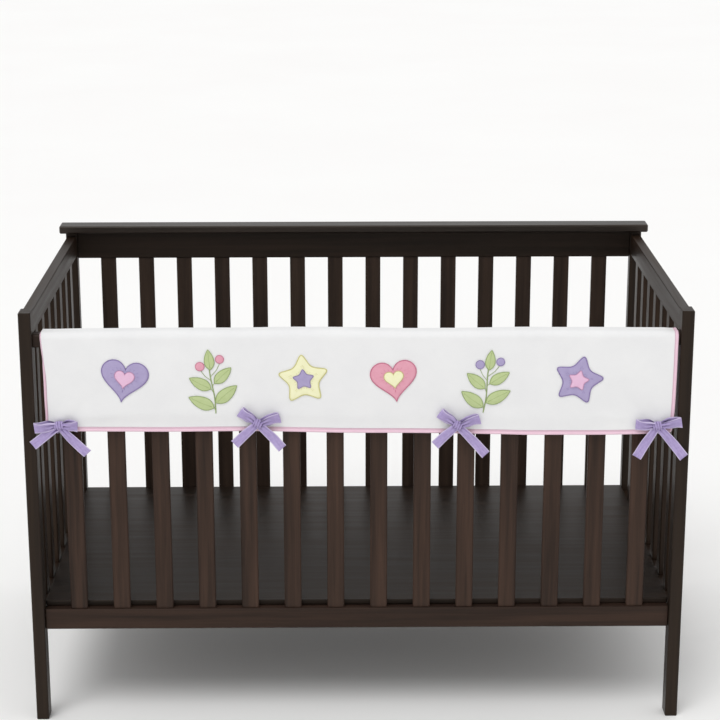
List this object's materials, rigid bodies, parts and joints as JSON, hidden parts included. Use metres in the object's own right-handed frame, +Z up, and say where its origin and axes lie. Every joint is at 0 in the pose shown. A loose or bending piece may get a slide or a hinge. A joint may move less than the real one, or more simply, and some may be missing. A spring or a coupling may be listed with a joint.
{
  "type": "crib rail cover on a crib",
  "caption": "Long padded cloth folded over the front top rail of a slatted wooden crib, with piping at its edges, applique patches on its front flap and ribbon ties in bows at its hem.",
  "frame": {"origin": "on the floor, under the middle of the whole, cover and bows included", "axes": "+X along the crib's length to the right of someone who faces its front, -Y towards that person, +Z up"},
  "size_m": [1.408, 0.8078, 0.928],
  "materials": {
    "wood": "satin dark stain",
    "cloth": "white cotton over padding",
    "piping": "pink cotton over cord",
    "ribbon": "lavender woven ribbon",
    "green": "pale green cotton patch",
    "pink": "pink cotton patch",
    "lavender": "lavender cotton patch",
    "yellow": "pale yellow cotton patch",
    "pale_pink": "pale pink cotton patch"
  },
  "bodies": {
    "root": {"post_front_left": "wood", "post_front_right": "wood", "post_back_left": "wood", "post_back_right": "wood", "rail_top_front": "wood", "rail_low_front": "wood", "slat_front_01": "wood", "slat_front_02": "wood", "slat_front_03": "wood", "slat_front_04": "wood", "slat_front_05": "wood", "slat_front_06": "wood", "slat_front_07": "wood", "slat_front_08": "wood", "slat_front_09": "wood", "slat_front_10": "wood", "slat_front_11": "wood", "slat_front_12": "wood", "slat_front_13": "wood", "slat_front_14": "wood", "panel_back": "wood", "cap_back": "wood", "panel_side_left": "wood", "panel_side_right": "wood", "base_board": "wood", "cover": "cloth", "piping": "piping", "bow_1": "ribbon", "bow_2": "ribbon", "bow_3": "ribbon", "bow_4": "ribbon", "tie_strap_1": "ribbon", "tie_strap_2": "ribbon", "tie_strap_3": "ribbon", "tie_strap_4": "ribbon", "heart_lavender": "lavender", "heart_lavender_inner": "pale_pink", "heart_pink": "pink", "heart_pink_inner": "yellow", "star_yellow": "yellow", "star_yellow_inner": "lavender", "star_lavender": "lavender", "star_lavender_inner": "pale_pink", "sprig_left_leaf_1": "green", "sprig_left_leaf_2": "green", "sprig_left_leaf_3": "green", "sprig_left_leaf_4": "green", "sprig_left_leaf_5": "green", "sprig_left_berry_1": "pink", "sprig_left_berry_2": "pink", "sprig_right_leaf_1": "green", "sprig_right_leaf_2": "green", "sprig_right_leaf_3": "green", "sprig_right_leaf_4": "green", "sprig_right_leaf_5": "green", "sprig_right_berry_1": "lavender", "sprig_right_berry_2": "lavender"}
  },
  "joints": []
}
